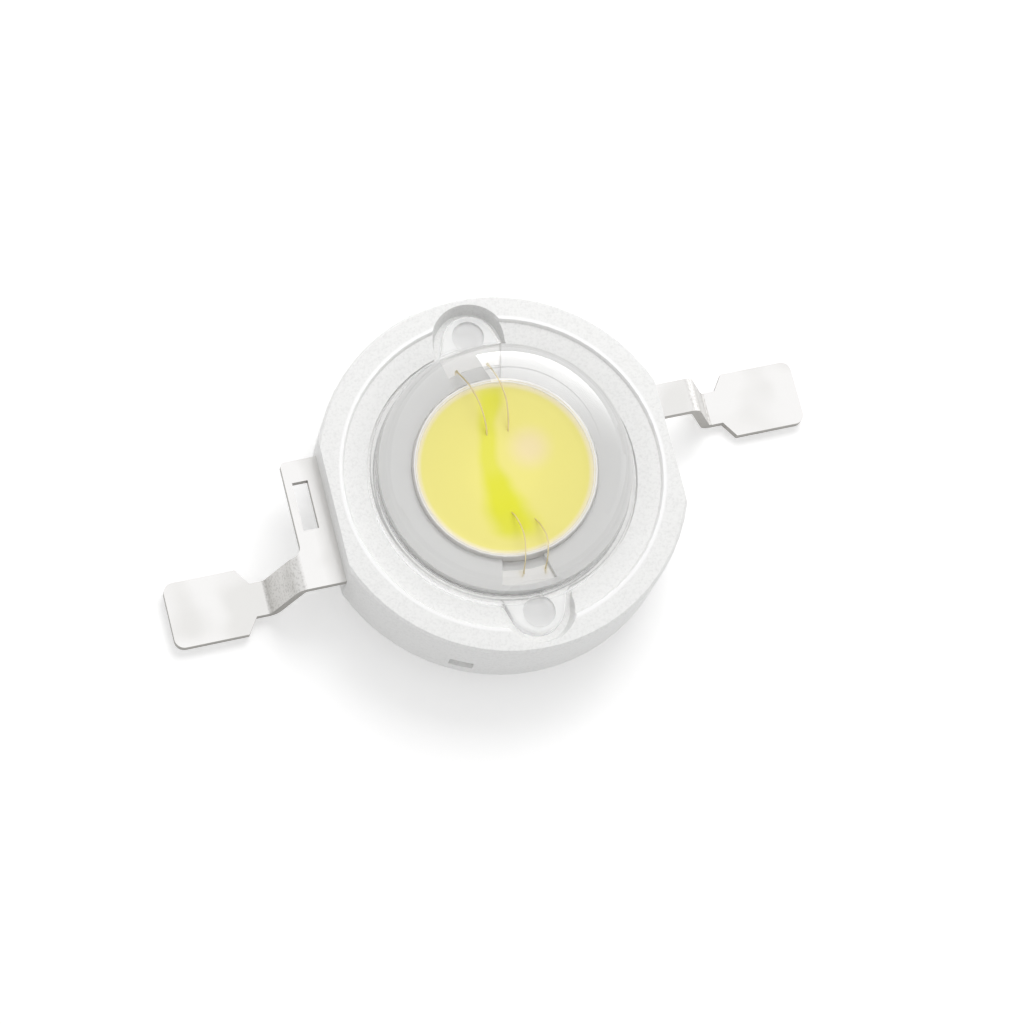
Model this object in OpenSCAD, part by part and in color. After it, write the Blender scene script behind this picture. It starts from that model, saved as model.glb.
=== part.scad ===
// Emitter type high power LED: moulded housing, heat slug, two formed leads and a clear dome lens.
// Origin: centre of the heat slug's underside. The leads run along X, the lens ears along Y.

/* [Housing] */
// Diameter of the round moulded housing
housing_d = 8.0; // [7.9:0.1:8.6]
// Distance across the two flats that the leads come out of
across_flats = 7.44; // [7.3:0.02:7.6]
// Height of the housing's top face
housing_top = 2.5; // [2.4:0.05:2.8]
// Height of the housing's underside
housing_base = 0.65; // [0.5:0.05:0.75]
// Diameter of the sunk band round the lens
band_d = 6.9; // [6.8:0.05:7.1]
// Depth of the sharp step at the outer edge of the sunk band
band_step = 0.09; // [0.05:0.01:0.14]
// How much further the sunk band falls on its way to the lens
band_fall = 0.11; // [0.04:0.01:0.14]
// Depth of the lens seat below the top face
seat_depth = 0.38; // [0.34:0.01:0.44]
// Height of the cavity floor above the lens seat
floor_rise = 0.14; // [0.1:0.01:0.16]
// Gap between the raised cavity floor and the lens's inner wall
floor_gap = 0.08; // [0.06:0.01:0.1]
// Chamfer on the housing's outer edges
edge_chamfer = 0.06; // [0.02:0.01:0.1]
// Width of a tie bar recess in the wall
tie_bar_w = 0.52; // [0.4:0.02:0.7]
// Height of a tie bar recess
tie_bar_h = 0.38; // [0.3:0.02:0.44]
// Depth of a tie bar recess
tie_bar_depth = 0.18; // [0.1:0.02:0.24]
// Plastic between a tie bar recess and the sheet level above it
tie_bar_drop = 0.08; // [0.04:0.02:0.12]

/* [Lens] */
// Radius of the clear dome
dome_r = 2.75; // [2.65:0.05:2.85]
// Width of the ledge round the foot of the dome
ledge_w = 0.12; // [0.08:0.01:0.16]
// Thickness of the lens's foot and ears
foot_h = 0.3; // [0.26:0.01:0.34]
// Wall thickness of the hollow lens
lens_wall = 0.45; // [0.35:0.05:0.55]
// Gap between the lens and its seat wall
lens_gap = 0.05; // [0.03:0.01:0.07]
// Radius of an ear's round end
ear_r = 0.6; // [0.56:0.02:0.64]
// Distance from the axis to the tip of an ear
ear_reach = 3.6; // [3.54:0.02:3.64]
// Half width of an ear where it leaves the foot
ear_root = 0.84; // [0.76:0.02:0.9]
// Diameter of the filling hole in each ear
ear_hole_d = 0.68; // [0.56:0.02:0.7]
// Distance from the axis to the centre of a filling hole
ear_hole_y = 3.12; // [3.1:0.01:3.16]
// Gap between an ear and the foot of its pocket
pocket_gap = 0.13; // [0.08:0.01:0.14]
// How much wider the pocket is at the top face than at its foot
pocket_flare = 0.1; // [0.06:0.01:0.12]

/* [Heat slug] */
// Diameter of the slug's base
slug_d = 5.6; // [5.2:0.1:6.2]
// Height of the slug's base
slug_base_h = 0.82; // [0.8:0.01:0.95]
// Chamfer on the edge of the slug's underside
slug_chamfer = 0.05; // [0.02:0.01:0.1]
// Diameter of the locking step above the base
slug_step_d = 4.4; // [4.0:0.1:4.8]
// Height of the locking step
slug_step_h = 0.3; // [0.2:0.02:0.34]
// Height of the reflector cup's rim above the cavity floor
cup_rise = 0.1; // [0.06:0.01:0.2]
// Inner diameter of the reflector cup at its rim
cup_d = 2.66; // [2.6:0.02:2.8]
// Inner diameter of the reflector cup at its floor
cup_floor_d = 1.72; // [1.64:0.02:1.9]
// Depth of the reflector cup
cup_depth = 0.6; // [0.5:0.02:0.7]
// Width of the cup's rim
cup_lip = 0.05; // [0.04:0.01:0.08]

/* [Leads] */
// Length over both solder pads
lead_span = 14.8; // [14.6:0.1:15.4]
// Thickness of the lead sheet
lead_t = 0.2; // [0.16:0.01:0.24]
// Height of the sheet's top face where it leaves the housing
lead_level = 1.72; // [1.68:0.02:1.78]
// Gap under the solder pads
pad_lift = 0.1; // [0.04:0.02:0.16]
// Width of a solder pad
pad_w = 1.46; // [1.2:0.02:1.5]
// Length of a solder pad without its shoulders
pad_l = 1.6; // [1.4:0.05:1.7]
// Length of the shoulders between a pad and its neck
shoulder_l = 0.24; // [0.1:0.02:0.3]
// Radius of a solder pad's outer corners
pad_corner = 0.22; // [0.1:0.02:0.3]
// Distance from the X axis to the middle of a solder pad
pad_offset = 1.09; // [1.04:0.01:1.12]
// Width of the neck between the housing and the pad
neck_w = 0.75; // [0.65:0.02:0.8]
// How far the marked lead's plate stands out of its flat
plate_reach = 0.8; // [0.74:0.02:0.86]
// Width of the marked lead's plate
plate_w = 2.84; // [2.7:0.02:2.9]
// Radius of the plate's free corner
plate_corner = 0.1; // [0.04:0.02:0.16]
// Width of the slot that marks the lead
slot_w = 0.34; // [0.24:0.02:0.4]
// Length of the slot that marks the lead
slot_l = 1.08; // [0.8:0.02:1.2]
// Distance from the housing's flat to the slot
slot_inset = 0.3; // [0.24:0.02:0.32]
// Distance along the plate from the neck to the slot
slot_setback = 0.52; // [0.4:0.02:0.6]
// Slope of the neck below the horizontal, in degrees
neck_slope = 70; // [62:1:76]
// Inner radius of the neck's bends
bend_r = 0.1; // [0.08:0.01:0.14]
// Radius of the fillet at the root of the neck
root_fillet = 0.22; // [0.1:0.02:0.3]
// Width of the bond finger beside the cup
finger_w = 0.56; // [0.46:0.02:0.6]
// Plastic between the cup and a bond finger
finger_gap = 0.18; // [0.14:0.01:0.2]
// Depth of a bond finger below the cavity floor
finger_sink = 0.08; // [0.06:0.01:0.1]
// Length of the sheet's ramp from the finger down to the level of the neck
ramp_run = 0.46; // [0.4:0.02:0.5]

/* [Chip and wires] */
// Side of the square chip
chip_w = 1.1; // [0.8:0.02:1.12]
// Thickness of the chip
chip_t = 0.15; // [0.1:0.01:0.2]
// Thickness of the silver paste under the chip
paste_t = 0.03; // [0.02:0.01:0.05]
// Drop of the phosphor's surface below the cup's rim
phosphor_drop = 0.02; // [0.02:0.01:0.05]
// Diameter of a bond wire
wire_d = 0.04; // [0.03:0.005:0.05]
// Height of the wire loops above the cup's rim
loop_rise = 0.22; // [0.18:0.01:0.28]
// Distance between the two wires of a pair on the chip
wire_pitch = 0.3; // [0.24:0.02:0.36]
// Distance from the X axis to a wire's ball on the chip
ball_y = 0.36; // [0.3:0.02:0.4]

/* [Hidden] */
$fn = 96;
eps = 0.01;

housing_r = housing_d / 2;
flat_x = across_flats / 2;
band_r = band_d / 2;
// Lean of the sunk band's step out of the upright
band_lean = band_step / 2;
seat_z = housing_top - seat_depth;
floor_z = seat_z + floor_rise;
tie_bar_turns = [-115, 65];
tie_bar_z = lead_level - lead_t - tie_bar_drop - tie_bar_h;

dome_z = seat_z + foot_h;
foot_r = dome_r + ledge_w;
seat_r = foot_r + lens_gap;
inner_r = dome_r - lens_wall;
floor_r = inner_r - floor_gap;
ear_c = ear_reach - ear_r;
ear_hole_r = ear_hole_d / 2;
// How far past the middle of an ear's round end its tapered sides run
taper_end = 0.1;
// Drop of the gel below the top of a filling hole
hole_drop = 0.06;
// Filling channel under an ear, from its hole to the ring round the raised floor
channel_w = 0.4;
channel_depth = 0.08;
channel_end = 0.2;
pocket_r = ear_r + pocket_gap;

cup_z = floor_z + cup_rise;
cup_r = cup_d / 2;
cup_floor_r = cup_floor_d / 2;
cup_floor_z = cup_z - cup_depth;
slug_r = slug_d / 2;
slug_step_r = slug_step_d / 2;
slug_step_z = slug_base_h + slug_step_h;
slug_neck_r = cup_r + cup_lip;
chip_z = cup_floor_z + paste_t;
chip_top = chip_z + chip_t;

pad_x1 = lead_span / 2;
pad_x0 = pad_x1 - pad_l;
pad_y0 = pad_offset - pad_w / 2;
pad_y1 = pad_offset + pad_w / 2;
pad_top = pad_lift + lead_t;
neck_y0 = pad_offset - neck_w / 2;
neck_y1 = pad_offset + neck_w / 2;
plate_y0 = neck_y1 - plate_w;
bend_x = flat_x + plate_reach;
bend_rise = (2 * bend_r + lead_t) * (1 - cos(neck_slope));
slope_l = (lead_level - pad_top - bend_rise) / sin(neck_slope);
// How far the neck and the plate run on inside the wall
anchor_run = 0.7;
anchor_x = flat_x - anchor_run;
finger_z = floor_z - finger_sink;
finger_in = slug_neck_r + finger_gap;
finger_out = finger_in + finger_w;
// Where a finger's band starts and ends round the cup, and the two sides of the strap that it hangs on
finger_start = 18;
finger_end = 112;
strap_y0 = 0.5;
strap_y1 = 1.3;
// Window in the cavity floor over each finger: half its angle, and its distance from the finger's edge
window_turn = 14;
window_inset = 0.12;

ball_d = 0.1;
ball_h = 0.05;
stitch_d = 0.1;
stitch_h = 0.03;
stitch_inset = 0.07;
stitch_r = finger_in + stitch_inset;
loop_top = cup_z + loop_rise;
loop_r = 0.35;
fall_r = 0.4;
fall_angle = 70;
// Where along X each wire's stitch lies: two on the finger towards +Y, then two towards -Y
stitch_xs = [-0.23, 0.22, -0.05, 0.31];

// Part of a flat ring between two angles, less than half a turn apart
module ring_sector(r_in, r_out, a0, a1) {
    far = 3 * r_out;
    mid = (a0 + a1) / 2;
    intersection() {
        difference() {
            circle(r_out);
            circle(r_in);
        }
        polygon([[0, 0], far * [cos(a0), sin(a0)], far * [cos(mid), sin(mid)], far * [cos(a1), sin(a1)]]);
    }
}

// What a rounding leaves of a square corner at the origin
module corner_patch(r) {
    difference() {
        square(r);
        translate([r, r]) circle(r);
    }
}

// Slug as it comes off the press, before its cup is formed
module slug_blank() {
    rotate_extrude()
        polygon([[0, 0], [slug_r - slug_chamfer, 0], [slug_r, slug_chamfer], [slug_r, slug_base_h],
                 [slug_step_r, slug_base_h], [slug_step_r, slug_step_z], [slug_neck_r, slug_step_z],
                 [slug_neck_r, cup_z], [0, cup_z]]);
}

// Inner radius of the reflector cup at a height
function cup_r_at(z) = cup_floor_r + (cup_r - cup_floor_r) * (z - cup_floor_z) / cup_depth;

// Inside of the reflector cup between two heights
module cup_space(z0, z1) {
    rotate_extrude()
        polygon([[0, z0], [cup_r_at(z0), z0], [cup_r_at(z1), z1], [0, z1]]);
}

module heat_slug() {
    color("silver") difference() {
        slug_blank();
        cup_space(cup_floor_z, cup_z + eps);
    }
}

module silver_paste() {
    color("lightgray") translate([0, 0, cup_floor_z + paste_t / 2])
        cube([chip_w, chip_w, paste_t], center = true);
}

module led_chip() {
    color("steelblue") translate([0, 0, chip_z + chip_t / 2])
        cube([chip_w, chip_w, chip_t], center = true);
}

module phosphor_fill() {
    color("khaki") difference() {
        cup_space(cup_floor_z, cup_z - phosphor_drop);
        silver_paste();
        led_chip();
        bond_wires();
    }
}

// Thin core that laps two stretches of a wire
module wire_lap() {
    translate([0, 0, -eps]) cylinder(h = 2 * eps, d = wire_d / 2);
}

// Straight stretch of wire upwards, with what follows at its end
module wire_run(l) {
    cylinder(h = l, d = wire_d);
    translate([0, 0, l]) {
        wire_lap();
        children();
    }
}

// Bend of a wire from upwards over towards +X, with what follows at its end
module wire_bend(r, angle) {
    translate([r, 0, 0]) {
        rotate([90, 0, 0]) rotate([0, 0, 180]) rotate_extrude(angle = -angle)
            translate([r, 0]) circle(wire_d / 2);
        rotate([0, angle, 0]) translate([-r, 0, 0]) {
            wire_lap();
            children();
        }
    }
}

// Ball on the chip, loop over the cup's rim and stitch on the finger, over a run along X
module wire_loop(run) {
    rise = loop_top - loop_r - chip_top;
    fall_z = loop_top - fall_r * (1 - cos(fall_angle));
    fall = (fall_z - finger_z - stitch_h / 2) / sin(fall_angle);
    span = run - loop_r - fall_r * sin(fall_angle) - fall * cos(fall_angle);
    translate([0, 0, chip_top]) {
        cylinder(h = ball_h, d = ball_d);
        wire_run(rise) wire_bend(loop_r, 90) wire_run(span) wire_bend(fall_r, fall_angle) wire_run(fall);
    }
    translate([run, 0, finger_z]) cylinder(h = stitch_h, d = stitch_d);
}

module bond_wire(k) {
    side = k < 2 ? 1 : -1;
    stitch_x = stitch_xs[k];
    ball = [(k % 2 - 0.5) * wire_pitch, side * ball_y];
    reach = [stitch_x, side * sqrt(stitch_r * stitch_r - stitch_x * stitch_x)] - ball;
    color("goldenrod") translate([ball[0], ball[1], 0]) rotate([0, 0, atan2(reach[1], reach[0])])
        wire_loop(norm(reach), $fn = 24);
}

module bond_wires() {
    for (k = [0:3]) bond_wire(k);
}

// Thin core that laps two runs of the lead sheet, inside its thickness
module sheet_lap() {
    translate([-eps, -housing_r, lead_t / 4]) cube([2 * eps, housing_d, lead_t / 2]);
}

// Flat run of the lead sheet along X, at full width, with what follows at its end
module flat_run(l) {
    translate([0, -housing_r, 0]) cube([l, housing_d, lead_t]);
    translate([l, 0, 0]) {
        sheet_lap();
        children();
    }
}

// Straight ramp of the lead sheet down to a lower level, with what follows at its end
module ramp(run, drop) {
    rotate([90, 0, 0]) linear_extrude(height = housing_d, center = true)
        polygon([[0, 0], [run, -drop], [run, lead_t - drop], [0, lead_t]]);
    translate([run, 0, -drop]) {
        sheet_lap();
        children();
    }
}

// Bend of the lead sheet, down by a positive angle or up by a negative one, with what follows at its end
module bend(angle) {
    c = angle > 0 ? -bend_r : lead_t + bend_r;
    translate([0, 0, c]) {
        rotate([90, 0, 0]) rotate([0, 0, angle > 0 ? 90 - angle : 270]) rotate_extrude(angle = abs(angle))
            translate([bend_r, -housing_r]) square([lead_t, housing_d]);
        rotate([0, angle, 0]) translate([0, 0, -c]) {
            sheet_lap();
            children();
        }
    }
}

// Bent sheet that a lead is cut from: finger level, ramp down to the anchor level, neck and pad level
module bent_sheet() {
    translate([-finger_out, 0, finger_z - lead_t])
        flat_run(finger_in + finger_out) ramp(ramp_run, finger_z - lead_level)
            flat_run(bend_x - finger_in - ramp_run) bend(neck_slope) flat_run(slope_l) bend(-neck_slope)
                flat_run(pad_x1);
}

module pad_plan() {
    difference() {
        polygon([[pad_x0 - shoulder_l, neck_y0], [pad_x0, pad_y0], [pad_x1, pad_y0],
                 [pad_x1, pad_y1], [pad_x0, pad_y1], [pad_x0 - shoulder_l, neck_y1]]);
        translate([pad_x1, pad_y0]) rotate(90) corner_patch(pad_corner);
        translate([pad_x1, pad_y1]) rotate(180) corner_patch(pad_corner);
    }
}

// Plate of the marked lead, with its slot and its one free corner
module plate_plan() {
    difference() {
        translate([anchor_x, plate_y0]) square([bend_x - anchor_x, plate_w]);
        translate([bend_x, plate_y0]) rotate(90) corner_patch(plate_corner);
        translate([flat_x + slot_inset, neck_y0 - slot_setback - slot_l]) square([slot_w, slot_l]);
    }
}

// Plan view of a lead: finger round the cup, strap, neck and pad, with the plate on the marked one
module lead_plan(marked) {
    ring_sector(finger_in, finger_out, finger_start, finger_end);
    translate([finger_in, strap_y0]) square([flat_x - finger_in, strap_y1 - strap_y0]);
    translate([anchor_x, neck_y0]) square([pad_x0 - anchor_x, neck_w]);
    pad_plan();
    if (marked) plate_plan();
    translate([marked ? bend_x : flat_x, neck_y0]) rotate(270) corner_patch(root_fillet);
}

module lead(marked) {
    color("gainsboro") intersection() {
        bent_sheet();
        linear_extrude(height = housing_top) lead_plan(marked);
    }
}

module marked_lead() {
    rotate([0, 0, 180]) lead(true);
}

module plain_lead() {
    lead(false);
}

module at_ears() {
    for (a = [90, 270]) rotate([0, 0, a]) children();
}

// Outline of an ear that points along X, grown all round by a gap
module ear_plan(gap) {
    r = ear_r + gap;
    taper_y = sqrt(r * r - taper_end * taper_end);
    translate([ear_c, 0]) circle(r);
    polygon([[inner_r, -ear_root - gap], [ear_c + taper_end, -taper_y],
             [ear_c + taper_end, taper_y], [inner_r, ear_root + gap]]);
}

module ear_holes(z0, z1) {
    at_ears() translate([ear_hole_y, 0, z0]) cylinder(h = z1 - z0, r = ear_hole_r);
}

// Upper half of a ball that stands on the lens's foot
module dome(r) {
    translate([0, 0, dome_z]) intersection() {
        sphere(r);
        cylinder(h = r + eps, r = r + eps);
    }
}

// Room under the hollow lens
module lens_space() {
    translate([0, 0, seat_z]) cylinder(h = foot_h, r = inner_r);
    dome(inner_r);
}

// Raised floor of the cavity, inside the hollow lens
module cavity_floor() {
    translate([0, 0, seat_z - eps]) cylinder(h = floor_rise + eps, r = floor_r);
}

// Filling channels in the seat, under the ears
module channels() {
    at_ears() translate([floor_r, -channel_w / 2, seat_z - channel_depth])
        cube([ear_hole_y + channel_end - floor_r, channel_w, channel_depth]);
}

// Windows in the cavity floor over the bond fingers
module windows() {
    at_ears() translate([0, 0, finger_z]) linear_extrude(finger_sink)
        ring_sector(slug_neck_r - eps, finger_out - window_inset, -window_turn, window_turn);
}

module housing_blank() {
    c = edge_chamfer;
    intersection() {
        rotate_extrude()
            polygon([[0, housing_base], [housing_r - c, housing_base], [housing_r, housing_base + c],
                     [housing_r, housing_top - c], [housing_r - c, housing_top], [0, housing_top]]);
        translate([-flat_x, -housing_r, 0]) cube([across_flats, housing_d, housing_top]);
    }
}

// Sunk band: a sharp step down, then a fall towards the lens seat
module band_space() {
    step_z = housing_top - band_step;
    rotate_extrude()
        polygon([[0, seat_z], [seat_r, seat_z], [seat_r, step_z - band_fall],
                 [band_r - band_lean, step_z], [band_r, housing_top],
                 [band_r, housing_top + eps], [0, housing_top + eps]]);
}

// Flared pockets that take the lens's ears
module ear_pockets() {
    h = seat_depth + eps;
    at_ears() translate([0, 0, seat_z]) {
        linear_extrude(h) ear_plan(pocket_gap);
        translate([ear_c, 0, 0]) cylinder(h = h, r1 = pocket_r, r2 = pocket_r + pocket_flare);
    }
}

module tie_bar_recesses() {
    for (a = tie_bar_turns) rotate([0, 0, a])
        translate([housing_r - tie_bar_depth, -tie_bar_w / 2, tie_bar_z])
            cube([2 * tie_bar_depth, tie_bar_w, tie_bar_h]);
}

module housing() {
    color("whitesmoke") difference() {
        housing_blank();
        difference() {
            band_space();
            cavity_floor();
        }
        ear_pockets();
        channels();
        windows();
        tie_bar_recesses();
        slug_blank();
        marked_lead();
        plain_lead();
    }
}

// Everything that the gel fills above the slug, leads and wires left in it
module gel_space() {
    difference() {
        lens_space();
        cavity_floor();
    }
    channels();
    windows();
    ear_holes(seat_z, dome_z - hole_drop);
}

module clear_gel() {
    color("lightcyan", 0.5) difference() {
        union() {
            difference() {
                gel_space();
                slug_blank();
            }
            cup_space(cup_z - phosphor_drop, cup_z + eps);
        }
        marked_lead();
        plain_lead();
        bond_wires();
    }
}

module lens() {
    color("azure", 0.4) difference() {
        union() {
            dome(dome_r);
            translate([0, 0, seat_z]) cylinder(h = foot_h, r = foot_r);
            at_ears() translate([0, 0, seat_z]) linear_extrude(foot_h) ear_plan(0);
        }
        lens_space();
        ear_holes(seat_z - eps, dome_z + eps);
    }
}

heat_slug();
silver_paste();
led_chip();
phosphor_fill();
bond_wire(0);  // bond_wire_1
bond_wire(1);  // bond_wire_2
bond_wire(2);  // bond_wire_3
bond_wire(3);  // bond_wire_4
marked_lead();
plain_lead();
housing();
clear_gel();
lens();
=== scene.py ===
import math

import bmesh
import bpy
from mathutils import Matrix, Vector
from mathutils.geometry import delaunay_2d_cdt


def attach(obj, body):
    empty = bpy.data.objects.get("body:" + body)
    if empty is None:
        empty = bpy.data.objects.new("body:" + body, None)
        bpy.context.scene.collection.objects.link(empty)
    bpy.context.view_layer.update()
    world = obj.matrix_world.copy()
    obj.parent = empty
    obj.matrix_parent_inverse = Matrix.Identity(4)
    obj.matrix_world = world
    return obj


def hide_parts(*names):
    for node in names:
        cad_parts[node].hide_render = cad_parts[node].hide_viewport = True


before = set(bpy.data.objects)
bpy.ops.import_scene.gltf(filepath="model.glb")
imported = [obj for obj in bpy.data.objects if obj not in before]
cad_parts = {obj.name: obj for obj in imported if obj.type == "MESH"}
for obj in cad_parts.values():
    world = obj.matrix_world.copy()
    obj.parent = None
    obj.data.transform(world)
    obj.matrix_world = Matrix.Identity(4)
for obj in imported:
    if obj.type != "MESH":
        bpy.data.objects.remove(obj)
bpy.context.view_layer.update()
print("frame loaded:", len(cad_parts), "solids")

mm = 0.001  # sizes below are in millimetres, Blender works in metres
wavePeriod = 0.314  # a wave texture at scale 1 repeats after this length
edgeRounding = {
    "weld": 1e-7,  # metres: joins only corners that lie on each other
    "segments": 3,
    "angle": 32,  # degrees
}


def toLinear(hexColour):
    channels = [int(hexColour[i:i + 2], 16) / 255 for i in (0, 2, 4)]
    return [c / 12.92 if c <= 0.04045 else ((c + 0.055) / 1.055) ** 2.4 for c in channels] + [1.0]


def addNode(tree, kind, inputs=None, **settings):
    node = tree.nodes.new(kind)
    for name, value in settings.items():
        setattr(node, name, value)
    for name, value in (inputs or {}).items():
        if isinstance(value, bpy.types.NodeSocket):
            tree.links.new(value, node.inputs[name])
        else:
            node.inputs[name].default_value = value
    return node


def newMaterial(name, surface):
    material = bpy.data.materials.new(name)
    material.use_nodes = True
    tree = material.node_tree
    shader = tree.nodes["Principled BSDF"]
    for socket, value in surface.items():
        shader.inputs[socket].default_value = value
    coords = addNode(tree, "ShaderNodeTexCoord").outputs["Object"]
    inMm = addNode(tree, "ShaderNodeVectorMath", {0: coords, "Scale": 1 / mm},
                   operation="SCALE").outputs[0]
    return material, tree, shader, inMm


def seenInPlan(tree, inMm):
    # the point moved down to the board, and how far it stands from the part's axis
    flat = addNode(tree, "ShaderNodeVectorMath", {0: inMm, 1: (1, 1, 0)},
                   operation="MULTIPLY").outputs[0]
    fromAxis = addNode(tree, "ShaderNodeVectorMath", {0: flat}, operation="LENGTH")
    return flat, fromAxis.outputs["Value"]


def addPiece(name, bm, material, sharpAngle=35):
    bmesh.ops.recalc_face_normals(bm, faces=bm.faces)
    mesh = bpy.data.meshes.new(name)
    bm.to_mesh(mesh)
    bm.free()
    mesh.transform(Matrix.Scale(mm, 4))
    mesh.shade_smooth()
    mesh.set_sharp_from_angle(angle=math.radians(sharpAngle))
    mesh.materials.append(material)
    piece = bpy.data.objects.new(name, mesh)
    bpy.context.scene.collection.objects.link(piece)
    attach(piece, "root")
    return piece


def dressNode(name, material, edge=0.0):
    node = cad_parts[name]
    node.data.materials.clear()
    node.data.materials.append(material)
    if edge:  # a real edge is never knife sharp: this narrow rounding catches the light
        node.data.attributes.remove(node.data.attributes["custom_normal"])
        node.data.shade_smooth()
        weld = node.modifiers.new("weld", "WELD")
        weld.merge_threshold = edgeRounding["weld"]
        rounding = node.modifiers.new("edge rounding", "BEVEL")
        rounding.width = edge * mm
        rounding.segments = edgeRounding["segments"]
        rounding.limit_method = "ANGLE"
        rounding.angle_limit = math.radians(edgeRounding["angle"])
        rounding.harden_normals = True


def circle(radius, count, centre=(0, 0)):
    turns = [2 * math.pi * i / count for i in range(count)]
    return [(centre[0] + radius * math.cos(a), centre[1] + radius * math.sin(a)) for a in turns]


def addRing(bm, points, z):
    return [bm.verts.new((x, y, z)) for x, y in points]


def bridgeRings(bm, rings):
    count = len(rings[0])
    for lower, upper in zip(rings, rings[1:]):
        for i in range(count):
            j = (i + 1) % count
            bm.faces.new((lower[i], lower[j], upper[j], upper[i]))


# Housing: one moulding of white plastic round the slug and the leads
housingLook = {
    "colour": "F3F3F2",
    "speckColour": "E6E6E5",
    # painted shade on the floor under the dome, partly the gel's wetting
    "underGelShadeColour": "C8C8C7",
    # painted highlight along the sunk band's edge
    "bandHighlightColour": "FFFFFF",
    "speckSize": 0.06,  # glass fibre ends and moulding grain, coarser than real so that they show
    "speckDetail": 3.0,
    "speckContrast": 0.7,
    "speckRange": (0.45, 0.75),
    "grainStrength": 0.35,
    "grainDepth": 0.004,
    "roughness": 0.45,
    "ior": 1.55,
    "edge": 0.04,
    "floorRadius": 2.24,  # the gel wets what faces up inside this radius and below this height, and shade is painted there
    "floorTop": 2.3,
    "facingUp": 0.5,
    "bandRadius": 3.47,  # the painted highlight line at the sunk band's edge, and the height it starts at
    "bandTop": 2.4,
    "bandHighlightFade": (0.075, 0.0225),
}


def makeMouldedPpa():
    # White polyphthalamide, injection moulded: chalky white with faint grey specks, greyer where
    # the gel wets it and with painted shade under the dome, and a painted highlight line along
    # the sunk band's edge
    look = housingLook
    material, tree, shader, inMm = newMaterial("moulded white PPA", {
        "Roughness": look["roughness"], "IOR": look["ior"]})
    grain = addNode(tree, "ShaderNodeTexNoise", {
        "Vector": inMm, "Scale": 1 / look["speckSize"], "Detail": look["speckDetail"],
        "Roughness": look["speckContrast"]}).outputs["Fac"]
    faint, full = look["speckRange"]
    specks = addNode(tree, "ShaderNodeMapRange", {
        "Value": grain, "From Min": faint, "From Max": full}).outputs[0]
    colour = addNode(tree, "ShaderNodeMix", {
        0: specks, 6: toLinear(look["colour"]), 7: toLinear(look["speckColour"])},
        data_type="RGBA").outputs[2]

    fromAxis = seenInPlan(tree, inMm)[1]
    height = addNode(tree, "ShaderNodeSeparateXYZ", {0: inMm}).outputs["Z"]
    normal = addNode(tree, "ShaderNodeNewGeometry").outputs["Normal"]
    upward = addNode(tree, "ShaderNodeSeparateXYZ", {0: normal}).outputs["Z"]
    inside = addNode(tree, "ShaderNodeMath", {0: fromAxis, 1: look["floorRadius"]},
                     operation="LESS_THAN").outputs[0]
    low = addNode(tree, "ShaderNodeMath", {0: height, 1: look["floorTop"]},
                  operation="LESS_THAN").outputs[0]
    level = addNode(tree, "ShaderNodeMath", {0: upward, 1: look["facingUp"]},
                    operation="GREATER_THAN").outputs[0]
    # painted shade: what faces up under the dome is greyed, partly as the gel's wetting
    underGelShade = addNode(tree, "ShaderNodeMath", {0: inside, 1: low}, operation="MULTIPLY").outputs[0]
    underGelShade = addNode(tree, "ShaderNodeMath", {0: underGelShade, 1: level}, operation="MULTIPLY").outputs[0]
    colour = addNode(tree, "ShaderNodeMix", {
        0: underGelShade, 6: colour, 7: toLinear(look["underGelShadeColour"])}, data_type="RGBA").outputs[2]

    # painted highlight: a clean white line round the sunk band's edge
    toBand = addNode(tree, "ShaderNodeMath", {0: fromAxis, 1: look["bandRadius"]},
                     operation="SUBTRACT").outputs[0]
    toBand = addNode(tree, "ShaderNodeMath", {0: toBand}, operation="ABSOLUTE").outputs[0]
    faint, full = look["bandHighlightFade"]
    bandHighlight = addNode(tree, "ShaderNodeMapRange", {
        "Value": toBand, "From Min": faint, "From Max": full},
        interpolation_type="SMOOTHSTEP").outputs[0]
    high = addNode(tree, "ShaderNodeMath", {0: height, 1: look["bandTop"]},
                   operation="GREATER_THAN").outputs[0]
    bandHighlight = addNode(tree, "ShaderNodeMath", {0: bandHighlight, 1: high}, operation="MULTIPLY").outputs[0]
    colour = addNode(tree, "ShaderNodeMix", {
        0: bandHighlight, 6: colour, 7: toLinear(look["bandHighlightColour"])}, data_type="RGBA").outputs[2]
    tree.links.new(colour, shader.inputs["Base Color"])
    bump = addNode(tree, "ShaderNodeBump", {
        "Height": grain, "Strength": look["grainStrength"], "Distance": look["grainDepth"] * mm})
    tree.links.new(bump.outputs[0], shader.inputs["Normal"])
    return material


dressNode("housing", makeMouldedPpa(), housingLook["edge"])
print("housing dressed")

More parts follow.
